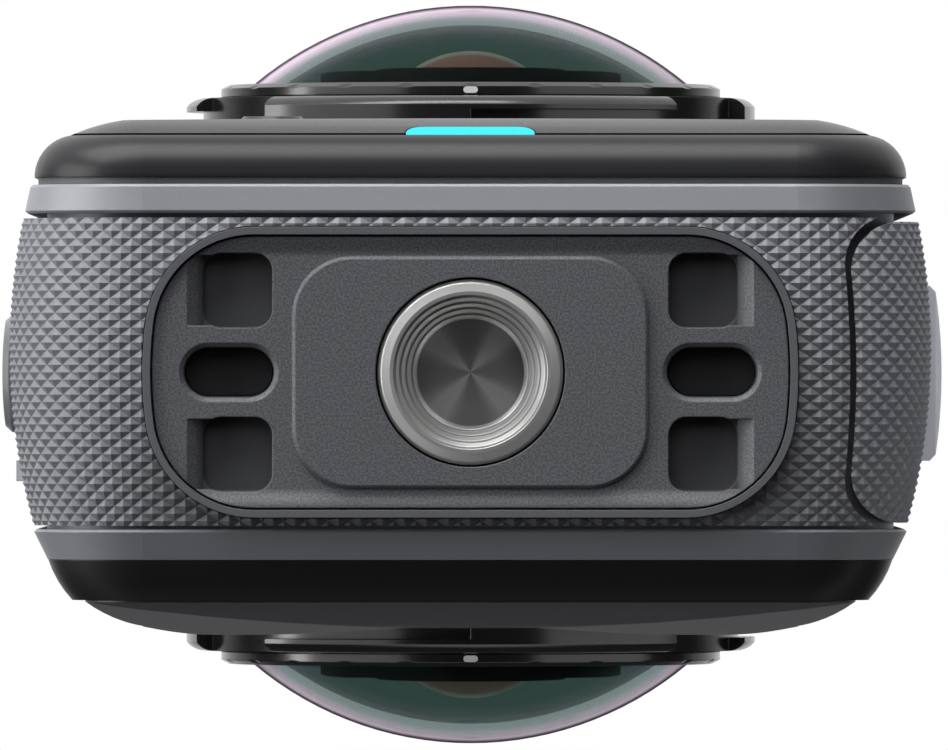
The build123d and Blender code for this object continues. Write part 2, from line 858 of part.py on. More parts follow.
with BuildPart() as back_form:
    with BuildSketch(Plane.XY.offset(-overrun)):
        with BuildLine():
            points = ridge_points()
            left = [(-x, y) for x, y in points[:0:-1]]
            ridge_line = Spline(*left, *points)
            Polyline(
                ridge_line @ 1,
                (points[-1][0], plug_front_y),
                (-points[-1][0], plug_front_y),
                ridge_line @ 0,
            )
        make_face()
    extrude(amount=body_height + 2 * overrun)
    with BuildSketch(Plane.YZ.offset(-grip_reach)):
        with BuildLine():
            ridge_high_z = crest(cover_reach) - ridge_foot_z + foot(cover_reach)
            Polyline(
                (plug_front_y, ridge_foot_z),
                (cover_rim_y, ridge_foot_z),
                (ridge_y + slip_gap, ridge_foot_z + ridge_ramp),
                (ridge_y + slip_gap, ridge_high_z - ridge_ramp),
                (cover_rim_y, ridge_high_z),
                (plug_front_y, ridge_high_z),
                close=True,
            )
        make_face()
    extrude(amount=2 * grip_reach, mode=Mode.INTERSECT)
    with BuildSketch(Plane.XY.offset(-overrun)):
        with BuildLine():
            crown = ThreePointArc(
                (-cover_reach, cover_rim_y),
                (0, cover_crown_y),
                (cover_reach, cover_rim_y),
            )
            Polyline(
                crown @ 1,
                (cover_reach, plug_front_y),
                (-cover_reach, plug_front_y),
                crown @ 0,
            )
        make_face()
    extrude(amount=body_height + 2 * overrun)

with BuildPart() as rear_cover:
    with BuildSketch(Plane.YZ):
        with BuildLine():
            round_over = SagittaArc(
                at(cover_flat_y, flat_reach), at(cover_rim_y, cover_reach), cover_bulge
            )
            Polyline(
                round_over @ 1,
                at(rear_frame_back_y, cover_reach),
                at(rear_frame_back_y, flat_reach),
                round_over @ 0,
            )
        make_face()
    sweep_round_body()
    with BuildSketch(front_plane(ridge_y + overrun)):
        loop_outline(flat_reach)
    extrude(amount=ridge_y + overrun - rear_frame_back_y)
    add(back_form.part, mode=Mode.INTERSECT)
    with BuildSketch(front_plane(rear_frame_back_y)):
        loop_outline(plug_reach, plug_corner)
    extrude(amount=rear_frame_back_y - plug_front_y)
    front_hole(0, lens_z, base_tube_r + slip_gap, ridge_y + overrun, 2 * overrun)
    front_hole(0, lens_z, lug_r + slip_gap, ridge_y + overrun, ridge_y + overrun - base_flange + seat_gap)

# Base island: a thin trim ring, and a plate with a raised middle, four square pockets with
# a ramp on their outer side, and two ovals that show the magnets.
plate_half = island_half - trim_width - trim_gap
plate_depth_half = island_depth_half - trim_width - trim_gap
with BuildPart() as base_trim_ring:
    with BuildSketch():
        island_face(island_half, island_depth_half)
    extrude(amount=plate_top_z)
    with BuildSketch(Plane.XY.offset(-overrun)):
        island_face(island_half - trim_width, island_depth_half - trim_width)
    extrude(amount=2 * overrun, mode=Mode.SUBTRACT)

with BuildPart() as base_plate:
    with BuildSketch(Plane.XY.offset(plate_face_z)):
        island_face(plate_half, plate_depth_half)
    extrude(amount=plate_top_z - plate_face_z)
    with BuildSketch(Plane.XY.offset(plate_face_z)):
        RectangleRounded(plateau_width, plateau_depth, plateau_corner)
    extrude(amount=-plate_face_z)
    chamfer(faces().sort_by(Axis.Z)[0].outer_wire().edges(), plateau_edge)
    with BuildSketch(Plane.XY.offset(-overrun)):
        with GridLocations(2 * pocket_x, 2 * pocket_y, 2, 2):
            RectangleRounded(pocket_width, pocket_depth_y, pocket_corner)
    extrude(amount=overrun + plate_face_z + pocket_depth, mode=Mode.SUBTRACT)
    for side_y in (-1, 1):
        ramp_middle = side_y * pocket_y
        for side_x in (-1, 1):
            inner = side_x * (pocket_x + pocket_width / 2)
            outer = inner + side_x * pocket_ramp
            with BuildSketch(Plane.XZ.offset(-ramp_middle)):
                with BuildLine():
                    Polyline(
                        (inner - side_x * pocket_corner, plate_face_z - seat_gap),
                        (outer, plate_face_z - seat_gap),
                        (inner, plate_face_z + pocket_ramp_depth),
                        (inner - side_x * pocket_corner, plate_face_z + pocket_ramp_depth),
                        close=True,
                    )
                make_face()
            extrude(amount=pocket_depth_y / 2 - slip_gap, both=True, mode=Mode.SUBTRACT)
    with BuildSketch(Plane.XY.offset(-overrun)):
        with Locations((-oval_x, 0), (oval_x, 0)):
            SlotOverall(oval_length, oval_width)
        Circle(insert_r + insert_gap)
    extrude(amount=2 * overrun, mode=Mode.SUBTRACT)
    with BuildSketch(Plane.XY.offset(plate_face_z)):
        with Locations((-oval_x, 0), (oval_x, 0)):
            SlotOverall(oval_length + 2 * oval_rim, oval_width + 2 * oval_rim)
    extrude(amount=oval_rim, taper=bevel_angle, mode=Mode.SUBTRACT)

with BuildPart() as base_magnets:
    with BuildSketch(Plane.XY.offset(foot(floor_reach))):
        with Locations((-oval_x, 0), (oval_x, 0)):
            magnet_cut = magnet_margin + 2 * seat_gap
            SlotOverall(oval_length - magnet_cut, oval_width - magnet_cut)
    extrude(amount=magnet_height - seat_gap)

with BuildPart() as tripod_insert:
    with BuildSketch(Plane.XZ):
        with BuildLine():
            step_width = (insert_mouth_r - thread_r) / mouth_steps
            mouth = [(insert_mouth_r, insert_foot_z)]
            for _ in range(mouth_steps):
                x, z = mouth[-1]
                mouth.append((x, z + mouth_step_depth))
                flat = step_width * mouth_step_flat_share
                mouth.append((x - flat, z + mouth_step_depth))
                mouth.append((x - step_width, z + mouth_step_depth + step_width - flat))
            Polyline(
                *mouth,
                (thread_r, thread_end_z),
                (0, thread_end_z),
                (0, insert_foot_z + insert_height),
                (insert_r, insert_foot_z + insert_height),
                (insert_r, insert_foot_z + insert_edge),
                (insert_r - insert_edge, insert_foot_z),
                close=True,
            )
        make_face()
    revolve(axis=Axis.Z)


# Lens windows, the same on both faces. The rear one is the front one turned half round.
def lens_section(facing):
    """Plane through the lens's axis: x runs out from the axis, y outwards from the body."""
    return Plane(origin=(0, 0, lens_z), x_dir=(-facing, 0, 0), z_dir=(0, 0, -1))


def lens_plane(facing, height):
    """Plane square to the lens's axis at this height, seen from outside."""
    return Plane(origin=(0, facing * height, lens_z), x_dir=(-facing, 0, 0), z_dir=(0, facing, 0))


def lens_axis(facing):
    return Axis((0, 0, lens_z), (0, facing, 0))


def turn_profile(facing, points):
    """Turn a closed outline of (radius, height) points about the lens's axis."""
    with BuildSketch(lens_section(facing)) as profile:
        with BuildLine():
            Polyline(*points, close=True)
        make_face()
    revolve(profile.sketch, axis=lens_axis(facing))


def sector(start, size, inner_r):
    """Sector of a ring, for a sketch square to the lens's axis."""
    far = 2 * lug_r
    corners = [start + size * share for share in (0, 0.5, 1)]
    with BuildLine() as outline:
        Polyline((0, 0), *[(far * cos(radians(a)), far * sin(radians(a))) for a in corners], close=True)
    make_face(outline.edges())
    Circle(inner_r, mode=Mode.SUBTRACT)


def make_lens_base(facing):
    with BuildPart() as lens_base:
        with BuildSketch(lens_section(facing)):
            with BuildLine():
                Polyline(
                    (barrel_bore_r, base_foot),
                    (base_tube_r, base_foot),
                    (base_tube_r, base_flange),
                    (lug_r, base_flange),
                    (lug_r, lug_edge),
                )
                slope = SagittaArc((lug_crown_r, base_top), (lug_r, lug_edge), lug_bulge)
                Polyline(
                    slope @ 0,
                    (window_bore_r, base_top),
                    (window_bore_r, window_ledge),
                    (barrel_bore_r, window_ledge),
                    (barrel_bore_r, base_foot),
                )
            make_face()
        revolve(axis=lens_axis(facing))
        for index in range(lug_count):
            start = lug_first + index * 360 / lug_count
            with BuildSketch(lens_plane(facing, base_flange)):
                sector(start + lug_sector, 360 / lug_count - lug_sector, base_r)
            extrude(amount=overrun, mode=Mode.SUBTRACT)
            with BuildSketch(lens_plane(facing, base_flange)):
                sector(start + lug_slot, lug_sector - lug_slot, base_r)
            extrude(amount=lug_under - base_flange, mode=Mode.SUBTRACT)
    return lens_base


def make_index_dot(facing):
    with BuildPart() as dot:
        with BuildSketch(Plane.XY.offset(lens_z - ring_r - seat_gap)):
            with Locations((0, facing * dot_height)):
                SlotOverall(dot_length, dot_width)
        extrude(amount=dot_depth)
    return dot


def make_lens_ring(facing, dot):
    """Ring that a key grips to twist the window out: a skirt, and scallops on the bevel."""
    with BuildPart() as ring:
        turn_profile(
            facing,
            [
                (ring_skirt_inner_r, ring_skirt_foot),
                (ring_skirt_r, ring_skirt_foot),
                (ring_skirt_r, ring_foot),
                (ring_r, ring_foot),
                (ring_r, ring_top - ring_bevel / 2),
                (ring_r - ring_bevel, ring_top),
                (dome_edge_r + seat_gap, ring_top),
                (dome_edge_r + seat_gap, dome_foot - seat_gap),
                (ring_ledge_r, dome_foot - seat_gap),
                (ring_ledge_r, dome_foot - ring_ledge),
                (ring_skirt_inner_r, dome_foot - ring_ledge),
            ],
        )
        with Locations(lens_plane(facing, ring_top + lobe_rise).location):
            with PolarLocations(ring_r + lobe_stand_off, ring_lobes):
                Sphere(lobe_r, mode=Mode.SUBTRACT)
        add(dot.part, mode=Mode.SUBTRACT)
    return ring


def make_lens_dome(facing):
    """Glass window: a thin spherical shell that ends in a short straight edge."""
    inner_r = dome_r - dome_glass
    inner_edge_r = sqrt(inner_r**2 - (dome_foot - dome_centre) ** 2)
    with BuildPart() as dome:
        with BuildSketch(lens_section(facing)):
            with BuildLine():
                outside = CenterArc((0, dome_centre), dome_r, 90, -degrees(asin(dome_edge_r / dome_r)))
                inside = CenterArc((0, dome_centre), inner_r, 90, -degrees(asin(inner_edge_r / inner_r)))
                Polyline(outside @ 1, (dome_edge_r, dome_foot), inside @ 1)
                Line(inside @ 0, outside @ 0)
            make_face()
        revolve(axis=lens_axis(facing))
    return dome


def make_lens_seal(facing):
    seal_height = (window_ledge + ring_skirt_foot) / 2
    with BuildPart() as seal:
        with BuildSketch(lens_section(facing)):
            with Locations(((ring_skirt_inner_r + ring_skirt_r) / 2, seal_height)):
                Circle(seal_r)
        revolve(axis=lens_axis(facing))
    return seal


def make_lens_barrel(facing):
    """Black barrel with stepped baffles round the inner element."""
    with BuildPart() as barrel:
        turn_profile(
            facing,
            [
                (0, barrel_foot),
                (barrel_foot_r, barrel_foot),
                (barrel_foot_r, barrel_waist),
                (barrel_r, barrel_waist),
                (barrel_r, barrel_collar_foot),
                (barrel_collar_r, barrel_collar_foot),
                (barrel_collar_r, barrel_collar_top),
                (barrel_shelf_r, barrel_collar_top),
                (barrel_shelf_r, barrel_shelf),
                (barrel_step_r, barrel_shelf),
                (barrel_step_r, barrel_step),
                (element_seat_r + seat_gap, barrel_step),
                (element_seat_r + seat_gap, element_foot),
                (0, element_foot),
            ],
        )
    return barrel


def make_lens_element(facing):
    """Inner glass: a short rod with a steep convex face."""
    centre = element_top - element_r
    with BuildPart() as element:
        with BuildSketch(lens_section(facing)):
            with BuildLine():
                face = CenterArc((0, centre), element_r, 90, -degrees(asin(element_seat_r / element_r)))
                Polyline(face @ 1, (element_seat_r, element_foot), (0, element_foot), face @ 0)
            make_face()
        revolve(axis=lens_axis(facing))
    return element


def make_sensor(facing):
    with BuildPart() as sensor:
        with BuildSketch(lens_plane(facing, carrier_half)):
            Rectangle(sensor_side, sensor_side)
        extrude(amount=barrel_foot - carrier_half)
    return sensor


lens_parts = {}
for side_name, facing in (("front", -1), ("rear", 1)):
    dot = make_index_dot(facing)
    lens_parts["index_dot_" + side_name] = dot
    lens_parts["lens_base_" + side_name] = make_lens_base(facing)
    lens_parts["lens_ring_" + side_name] = make_lens_ring(facing, dot)
    lens_parts["lens_dome_" + side_name] = make_lens_dome(facing)
    lens_parts["lens_seal_" + side_name] = make_lens_seal(facing)
    lens_parts["lens_barrel_" + side_name] = make_lens_barrel(facing)
    lens_parts["lens_element_" + side_name] = make_lens_element(facing)
    lens_parts["sensor_" + side_name] = make_sensor(facing)

with BuildPart() as lens_carrier:
    with BuildSketch(Plane.XZ):
        with Locations((0, lens_z)):
            RectangleRounded(2 * carrier_reach, carrier_height, carrier_corner)
    extrude(amount=carrier_half, both=True)


# Front buttons, flush with the panel: a shank through it, and a flange that the travel brings
# on to a switch. The shutter's has a raised pad to feel for.
front_button_back_y = web_front_y - switch_height - plunger_height - front_press - slip_gap
front_button_face_y = panel_face_y + panel_crown * (front_button_x / panel_reach) ** 2


def make_front_button(x, pad_r):
    with BuildPart() as button:
        with BuildSketch(front_plane(front_button_back_y)):
            with Locations((x, front_button_z)):
                Circle(front_button_r)
        extrude(amount=front_button_back_y - front_button_face_y)
        with BuildSketch(front_plane(front_button_back_y)):
            with Locations((x, front_button_z)):
                Circle(front_button_flange_r)
        extrude(amount=front_button_flange)
        if pad_r:
            with BuildSketch(front_plane(front_button_face_y).offset(-slip_gap)):
                with Locations((x, front_button_z)):
                    Circle(pad_r)
            extrude(amount=shutter_rise + slip_gap, taper=bevel_angle)
    return button


mode_button = make_front_button(front_button_x, 0)
shutter_button = make_front_button(-front_button_x, shutter_pad_r)


# Side buttons: a slightly crowned key, and a post through the chassis wall to a switch.
def make_side_button(low_z, length):
    post_end_x = board_x - switch_height - plunger_height - side_press - slip_gap - seat_gap
    with BuildPart() as button:
        root_x = -floor_reach - side_press - seat_gap
        with BuildSketch(Plane.XY.offset(low_z)):
            with BuildLine():
                face = ThreePointArc(
                    (side_button_edge_x, -side_button_half),
                    (side_button_face_x, 0),
                    (side_button_edge_x, side_button_half),
                )
                Polyline(face @ 1, (root_x, side_button_half), (root_x, -side_button_half), face @ 0)
            make_face()
        extrude(amount=length)
        with BuildSketch(Plane.YZ.offset(root_x)):
            with Locations((0, low_z + length / 2)):
                RectangleRounded(2 * side_button_half, length, side_button_half - side_button_bevel)
        extrude(amount=side_button_face_x - root_x, mode=Mode.INTERSECT)
        chamfer(faces().sort_by(Axis.X)[0].edges(), side_button_bevel)
        box_between(
            (root_x - seat_gap, -post_half, low_z + length / 4),
            (post_end_x, post_half, low_z + length * 3 / 4),
        )
    return button


power_button = make_side_button(power_low_z, power_length)
quick_button = make_side_button(quick_low_z, quick_length)

with BuildPart() as button_board:
    box_between(
        (board_x, -board_half, board_low_z),
        (board_x + board_thickness, board_half, board_high_z),
    )

with BuildPart() as button_switches:
    for side in (-1, 1):
        with BuildSketch(front_plane(web_front_y)):
            with Locations((side * front_button_x, front_button_z)):
                Rectangle(switch_side, switch_side)
        extrude(amount=switch_height)
        with BuildSketch(front_plane(web_front_y)):
            with Locations((side * front_button_x, front_button_z)):
                Circle(plunger_r)
        extrude(amount=switch_height + plunger_height)
    for low_z, length in ((power_low_z, power_length), (quick_low_z, quick_length)):
        middle_z = low_z + length / 2
        half = switch_side / 2
        box_between((board_x - switch_height, -half, middle_z - half), (board_x, half, middle_z + half))
        with BuildSketch(Plane.YZ.offset(board_x)):
            with Locations((0, middle_z)):
                Circle(plunger_r)
        extrude(amount=-switch_height - plunger_height)

# Battery: the pack, the textured cover on its outer end, its seal and the latch's recess.
battery_half = bay_half - battery_gap / 2
battery_low_z = bay_low_z + battery_gap / 2
battery_high_z = bay_low_z + bay_height - battery_gap / 2
with BuildPart() as battery_pack:
    box_between(
        (bay_left_x + battery_gap, -battery_half, battery_low_z),
        (door_plug_x - seat_gap, battery_half, battery_high_z),
    )
    fillet(edges().filter_by(Axis.X), battery_corner)

with BuildPart() as battery_cover:
    sweep_round_body(grip_section(door_inner_reach))
    add(door_zone(0), mode=Mode.INTERSECT)
    with BuildSketch(Plane.YZ.offset(door_plug_x)):
        with Locations((0, bay_low_z + bay_height / 2)):
            plug_width = 2 * (bay_half - door_plug_margin)
            plug_height = bay_height - 2 * door_plug_margin
            RectangleRounded(plug_width, plug_height, battery_corner)
    extrude(amount=door_inner_reach - door_plug_x + seat_gap)
    with BuildSketch(Plane.YZ.offset(battery_seal_x)):
        with Locations((0, bay_low_z + bay_height / 2)):
            RectangleRounded(plug_width + overrun, plug_height + overrun, battery_corner)
            groove = 2 * battery_seal_width
            RectangleRounded(
                plug_width - groove, plug_height - groove, battery_corner, mode=Mode.SUBTRACT
            )
    extrude(amount=battery_seal_length, mode=Mode.SUBTRACT)
    box_between(
        (latch_back_x - slip_gap, -latch_half - working_gap, latch_low_z - working_gap),
        (
            grip_reach + overrun,
            latch_half + working_gap,
            latch_low_z + latch_length + latch_travel + working_gap,
        ),
        mode=Mode.SUBTRACT,
    )

with BuildPart() as battery_seal:
    with BuildSketch(Plane.YZ.offset(battery_seal_x + seat_gap)):
        with Locations((0, bay_low_z + bay_height / 2)):
            proud = 2 * (door_plug_margin - working_gap / 2)
            RectangleRounded(plug_width + proud, plug_height + proud, battery_corner)
            RectangleRounded(
                plug_width - groove + seat_gap,
                plug_height - groove + seat_gap,
                battery_corner,
                mode=Mode.SUBTRACT,
            )
    extrude(amount=battery_seal_length - 2 * seat_gap)

with BuildPart() as battery_contacts:
    box_between(
        (bay_left_x, -contact_width / 2, bay_low_z + bay_height / 2 - contact_length / 2),
        (bay_left_x + contact_height, contact_width / 2, bay_low_z + bay_height / 2 + contact_length / 2),
    )

with BuildPart() as battery_latch:
    with BuildSketch(Plane.XY.offset(latch_low_z)):
        with BuildLine():
            face = ThreePointArc(
                (latch_edge_x, latch_bevel - latch_half),
                (latch_face_x, 0),
                (latch_edge_x, latch_half - latch_bevel),
            )
            Polyline(
                face @ 1,
                (latch_edge_x - latch_bevel, latch_half),
                (latch_back_x, latch_half),
                (latch_back_x, -latch_half),
                (latch_edge_x - latch_bevel, -latch_half),
                face @ 0,
            )
        make_face()
    extrude(amount=latch_length)
    with BuildSketch(Plane.XZ):
        latch_high_z = latch_low_z + latch_length
        with BuildLine():
            Polyline(
                (latch_back_x, latch_low_z),
                (latch_face_x - latch_bevel, latch_low_z),
                (latch_face_x, latch_low_z + latch_bevel),
                (latch_face_x, latch_high_z - latch_bevel),
                (latch_face_x - latch_bevel, latch_high_z),
                (latch_back_x, latch_high_z),
                close=True,
            )
        make_face()
    extrude(amount=latch_half + overrun, both=True, mode=Mode.INTERSECT)
    for index in range(latch_rib_count):
        rib_z = latch_low_z + latch_length / 2 + (index - (latch_rib_count - 1) / 2) * latch_rib_pitch
        box_between(
            (latch_edge_x - latch_rib_depth, -latch_half / 2, rib_z - latch_rib_width / 2),
            (latch_face_x + overrun, latch_half / 2, rib_z + latch_rib_width / 2),
            mode=Mode.SUBTRACT,
        )

# USB door: a curved flap that turns on a pin at its lower end.
with BuildPart() as usb_door:
    sweep_round_body(grip_section(-usb_pin_x - usb_knuckle_r))
    with BuildSketch(Plane.YZ.offset(-grip_reach - overrun)):
        with Locations((0, (usb_pin_z + usb_door_top_z) / 2)):
            Rectangle(2 * usb_half, usb_door_top_z - usb_pin_z)
        fillet(vertices().group_by(Axis.Y)[-1], usb_door_corner)
        for side in (-1, 1):
            notch_middle = side * (usb_knuckle_half + usb_half + overrun) / 2
            with Locations((notch_middle, usb_pin_z)):
                Rectangle(usb_half + overrun - usb_knuckle_half, 2 * usb_notch, mode=Mode.SUBTRACT)
    extrude(amount=overrun + grip_reach, mode=Mode.INTERSECT)
    with BuildSketch(Plane.XZ.offset(-usb_knuckle_half)):
        with Locations((usb_pin_x, usb_pin_z)):
            Circle(usb_knuckle_r)
    extrude(amount=2 * usb_knuckle_half)
    with BuildSketch(Plane.XZ.offset(-usb_half)):
        with Locations((usb_pin_x, usb_pin_z)):
            Circle(usb_pin_r + usb_pin_clearance)
    extrude(amount=2 * usb_half, mode=Mode.SUBTRACT)

with BuildPart() as usb_door_pin:
    with BuildSketch(Plane.XZ.offset(-usb_half + seat_gap)):
        with Locations((usb_pin_x, usb_pin_z)):
            Circle(usb_pin_r)
    extrude(amount=2 * (usb_half - seat_gap))

with BuildPart() as usb_port:
    with BuildSketch(Plane.YZ.offset(port_mouth_x)):
        with Locations((0, port_z)):
            RectangleRounded(2 * port_half_y, 2 * port_half_z, port_half_y - seat_gap)
    extrude(amount=bay_left_x - bay_wall - seat_gap - port_mouth_x)
    with BuildSketch(Plane.YZ.offset(port_mouth_x)):
        with Locations((0, port_z)):
            RectangleRounded(
                2 * (port_half_y - port_wall),
                2 * (port_half_z - port_wall),
                port_half_y - port_wall - seat_gap,
            )
            RectangleRounded(port_wall * 2, port_half_z, port_wall - seat_gap, mode=Mode.SUBTRACT)
    extrude(amount=port_depth, mode=Mode.SUBTRACT)

# Screen and boards
with BuildPart() as touch_display:
    with BuildSketch(front_plane(web_front_y - seat_gap)):
        with Locations((0, display_low_z + display_height / 2)):
            RectangleRounded(2 * display_half, display_height, display_corner)
    extrude(amount=web_front_y - panel_back_y - 2 * seat_gap)

with BuildPart() as main_board:
    main_board_back_y = main_board_front_y + main_board_thickness
    board_low = (-main_board_half, main_board_front_y, main_board_low_z)
    board_high = (main_board_half, main_board_back_y, main_board_low_z + main_board_height)
    box_between(board_low, board_high)
    for share in (chip_low_share, chip_high_share):
        chip_z = main_board_low_z + share * main_board_height
        box_between(
            (-chip_side / 2, main_board_back_y - seat_gap, chip_z - chip_side / 2),
            (chip_side / 2, main_board_back_y + chip_height, chip_z + chip_side / 2),
        )

with BuildPart() as heat_spreader:
    spreader_y = main_board_back_y + chip_height
    box_between(
        (-main_board_half + spreader_margin, spreader_y, main_board_low_z + spreader_margin),
        (
            main_board_half - spreader_margin,
            spreader_y + spreader_thickness,
            main_board_low_z + main_board_height - spreader_margin,
        ),
    )

with BuildPart() as card_slot:
    with BuildSketch(front_plane(main_board_front_y - seat_gap)):
        with Locations((card_slot_x, card_slot_z)):
            Rectangle(card_slot_width, card_slot_length)
    extrude(amount=card_slot_height)

with BuildPart() as speaker:
    speaker_x = -wall_inner_reach + slip_gap
    box_between(
        (speaker_x, -speaker_half, speaker_z - speaker_length / 2),
        (speaker_x + speaker_width, speaker_half, speaker_z + speaker_length / 2),
    )

with BuildPart() as microphones:
    with BuildSketch(Plane.XY.offset(crest(wall_inner_reach) - seat_gap)):
        with Locations((-mic_x, 0), (mic_x, 0)):
            Rectangle(mic_length, mic_width)
    extrude(amount=-mic_height)

parts = {
    "front_frame": front_frame,
    "front_gasket": front_gasket,
    "front_panel": front_panel,
    "status_light": status_light,
    "mid_frame": mid_frame,
    "grip_sleeve": grip_sleeve,
    "rear_frame": rear_frame,
    "frame_screws": frame_screws,
    "rear_cover": rear_cover,
    "base_trim_ring": base_trim_ring,
    "base_plate": base_plate,
    "base_magnets": base_magnets,
    "tripod_insert": tripod_insert,
    "lens_carrier": lens_carrier,
    "shutter_button": shutter_button,
    "mode_button": mode_button,
    "power_button": power_button,
    "quick_button": quick_button,
    "button_board": button_board,
    "button_switches": button_switches,
    "battery_pack": battery_pack,
    "battery_cover": battery_cover,
    "battery_seal": battery_seal,
    "battery_contacts": battery_contacts,
    "battery_latch": battery_latch,
    "usb_door": usb_door,
    "usb_door_pin": usb_door_pin,
    "usb_port": usb_port,
    "touch_display": touch_display,
    "main_board": main_board,
    "heat_spreader": heat_spreader,
    "card_slot": card_slot,
    "speaker": speaker,
    "microphones": microphones,
    **lens_parts,
}

os.makedirs("parts", exist_ok=True)
for name, piece in parts.items():
    piece.part.label = name
    export_step(piece.part, "parts/" + name + ".step")
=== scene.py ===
import json
import math

import bmesh
import bpy
import numpy as np
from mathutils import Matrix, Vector


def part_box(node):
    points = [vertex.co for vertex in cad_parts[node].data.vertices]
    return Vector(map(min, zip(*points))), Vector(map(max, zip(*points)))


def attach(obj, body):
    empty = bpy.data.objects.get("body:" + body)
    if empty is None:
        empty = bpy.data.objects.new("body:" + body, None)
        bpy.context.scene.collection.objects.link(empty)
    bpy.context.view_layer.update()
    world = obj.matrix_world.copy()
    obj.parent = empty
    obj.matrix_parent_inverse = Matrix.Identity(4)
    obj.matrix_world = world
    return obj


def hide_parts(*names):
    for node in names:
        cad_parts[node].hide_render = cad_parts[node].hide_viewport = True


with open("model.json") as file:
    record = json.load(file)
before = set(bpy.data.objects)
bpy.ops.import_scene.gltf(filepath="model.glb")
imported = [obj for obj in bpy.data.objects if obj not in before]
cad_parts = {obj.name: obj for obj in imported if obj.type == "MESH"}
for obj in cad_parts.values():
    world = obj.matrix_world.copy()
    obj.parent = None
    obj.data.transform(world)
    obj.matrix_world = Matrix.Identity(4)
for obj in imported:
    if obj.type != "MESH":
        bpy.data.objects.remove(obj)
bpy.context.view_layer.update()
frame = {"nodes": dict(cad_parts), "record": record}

# Pocket 360 degree camera, seen from straight below. Metres, in the frame of the CAD model:
# +Z up the body, -Y the screen side, +X the battery side.
MM = 0.001
WHITE = (1, 1, 1, 1)
nodes = frame["nodes"]

# Photograph: its width and focal length in pixels, the sensor's width in mm, where the camera
# stood and looked, and between which distances it sees
PHOTO_WIDTH = 948
FOCAL_PX = 21300
SENSOR = 36
CAMERA_PLACE = (0.17 * MM, 1.09 * MM, -1.0)
CAMERA_TARGET = (0.17 * MM, 0.13 * MM, 0.0)
CAMERA_NEAR, CAMERA_FAR = 0.05, 50

# Grip: the outline's corner, and the reach of its surface at front, at back and inside
GRIP_CORNER = 6.4 * MM
GRIP_FRONT_REACH = 21.2 * MM
GRIP_BACK_REACH = 20.7 * MM
GRIP_INNER_REACH = 15.7 * MM

# Lattice: pitch round the body and across it, the pyramids' height, how far their tips lie under
# the crown, how far the rows run past the grip, and within what distance points are joined
LATTICE_ROUND = 1.03 * MM
LATTICE_ACROSS = 0.70 * MM
LATTICE_RISE = 0.17 * MM
LATTICE_SINK = 0.03 * MM
LATTICE_OVERRUN = 0.5 * MM
WELD_DISTANCE = 0.0005 * MM

# Every finish: the scale of its mottling, how far this changes its colour, how far the grain
# changes its gloss, where patches of lighter edges begin and end in their noise and how much
# they gain, where specks begin and end in theirs, and the shade painted into a gap behind a
# panel. The lighter edges are partly abrasion, partly a painted edge highlight.
MOTTLE_SCALE = 60
MOTTLE_TINT = 0.07
GRAIN_GLOSS = 0.06
WEAR_AND_HIGHLIGHT_PATCHES = (0.35, 0.2), (0.65, 1.0)
WEAR_AND_HIGHLIGHT_GAIN = 2.0
SPECKS = (0.4, 0.0), (0.6, 1.0)
SEAM_SHADE = 0.002

# Socket: its floor's radius and the turn, sharpness, gain and least strength of the painted
# reflection in an X on that floor, then the inner radius, width and rise of its outward lip, the
# turning marks, and how much brighter than the steel the floor and the lip are painted, as a
# painted highlight
DISC_RADIUS = 2.75 * MM
DISC_EDGE = 0.02 * MM
GLINT_TURN = 0.17
GLINT_SHARPNESS = 4.0
GLINT_GAIN = 0.75
GLINT_LEAST = 0.65
LIP_RADIUS = 3.8 * MM
LIP_WIDTH = 0.6 * MM
LIP_RISE = 0.2 * MM
MARK_SCALE = 14000
MARK_RELIEF = 0.004 * MM
STEEL_HIGHLIGHT = 1.6

# Painted reflection and shade on glass, by how far the surface turns away from the eye (0 facing
# it, 1 edge on): the share of lilac in the dome's glass and of the lilac film over it, both a
# painted reflection of its anti-glare coating, and of its dark outline, a painted shade; and of
# the pale sheen painted into an inner element's colour
DOME_LILAC_GLINT = (0.7, 0.0), (0.88, 1.0)
DOME_GLINT_FILM = (0.6, 0.0), (0.73, 0.05), (0.84, 0.5), (0.9, 0.4)
DOME_SHADE_OUTLINE = (0.855, 0.0), (0.905, 0.95)
ELEMENT_SHEEN = (0.7, 0.0), (0.84, 1.0)
GLINT_FILM_SHADE = 0.8
OUTLINE_SHADE = 0.06

# Floor: half its side, how far it lies under the object, the radius round the object within
# which it lets light from below through, how its own light grows with distance, and its shade
FLOOR_HALF = 8.0
FLOOR_SINK = 0.2 * MM
FLOOR_WINDOW = 0.06
FLOOR_FADE = 0.3, 1.2, 0.5, 1.0
PAPER_SHADE = 0.8

# World: the level of its light, the direction in which glossy surfaces see white and how that
# fades, and how the white seen through glass fades with height
AMBIENT = 0.03
WHITE_SIDE = (0.0, -0.707, 0.707)
WHITE_FADE = (0.3, 0.0), (0.66, 1.0)
THROUGH_FADE = (0.1, 0.0), (0.3, 1.0)

# Lamps: name, place, size, level, target, and whether glossy surfaces mirror it
NEAR_BASE = (0, 0, 0.03)
NEAR_LENSES = (0, 0, 0.1)
LAMPS = (
    ("top_softbox", (-0.32, -0.93, -0.24), (1.1, 0.8), 1.9, NEAR_BASE, True),
    ("key_left", (-0.6, -0.06, -0.12), (0.45, 0.5), 1.0, NEAR_BASE, True),
    ("near_camera", (-0.1, -0.5, -0.8), (0.8, 0.6), 0.36, NEAR_BASE, False),
    ("fill_right", (0.75, 0.05, -0.12), (0.3, 0.5), 0.14, NEAR_BASE, False),
    ("overhead", (-0.35, -0.45, 0.95), (0.8, 0.8), 0.7, NEAR_LENSES, False),
    ("back_fill", (0.3, 0.9, 0.5), (0.6, 0.6), 0.5, NEAR_LENSES, False),
)


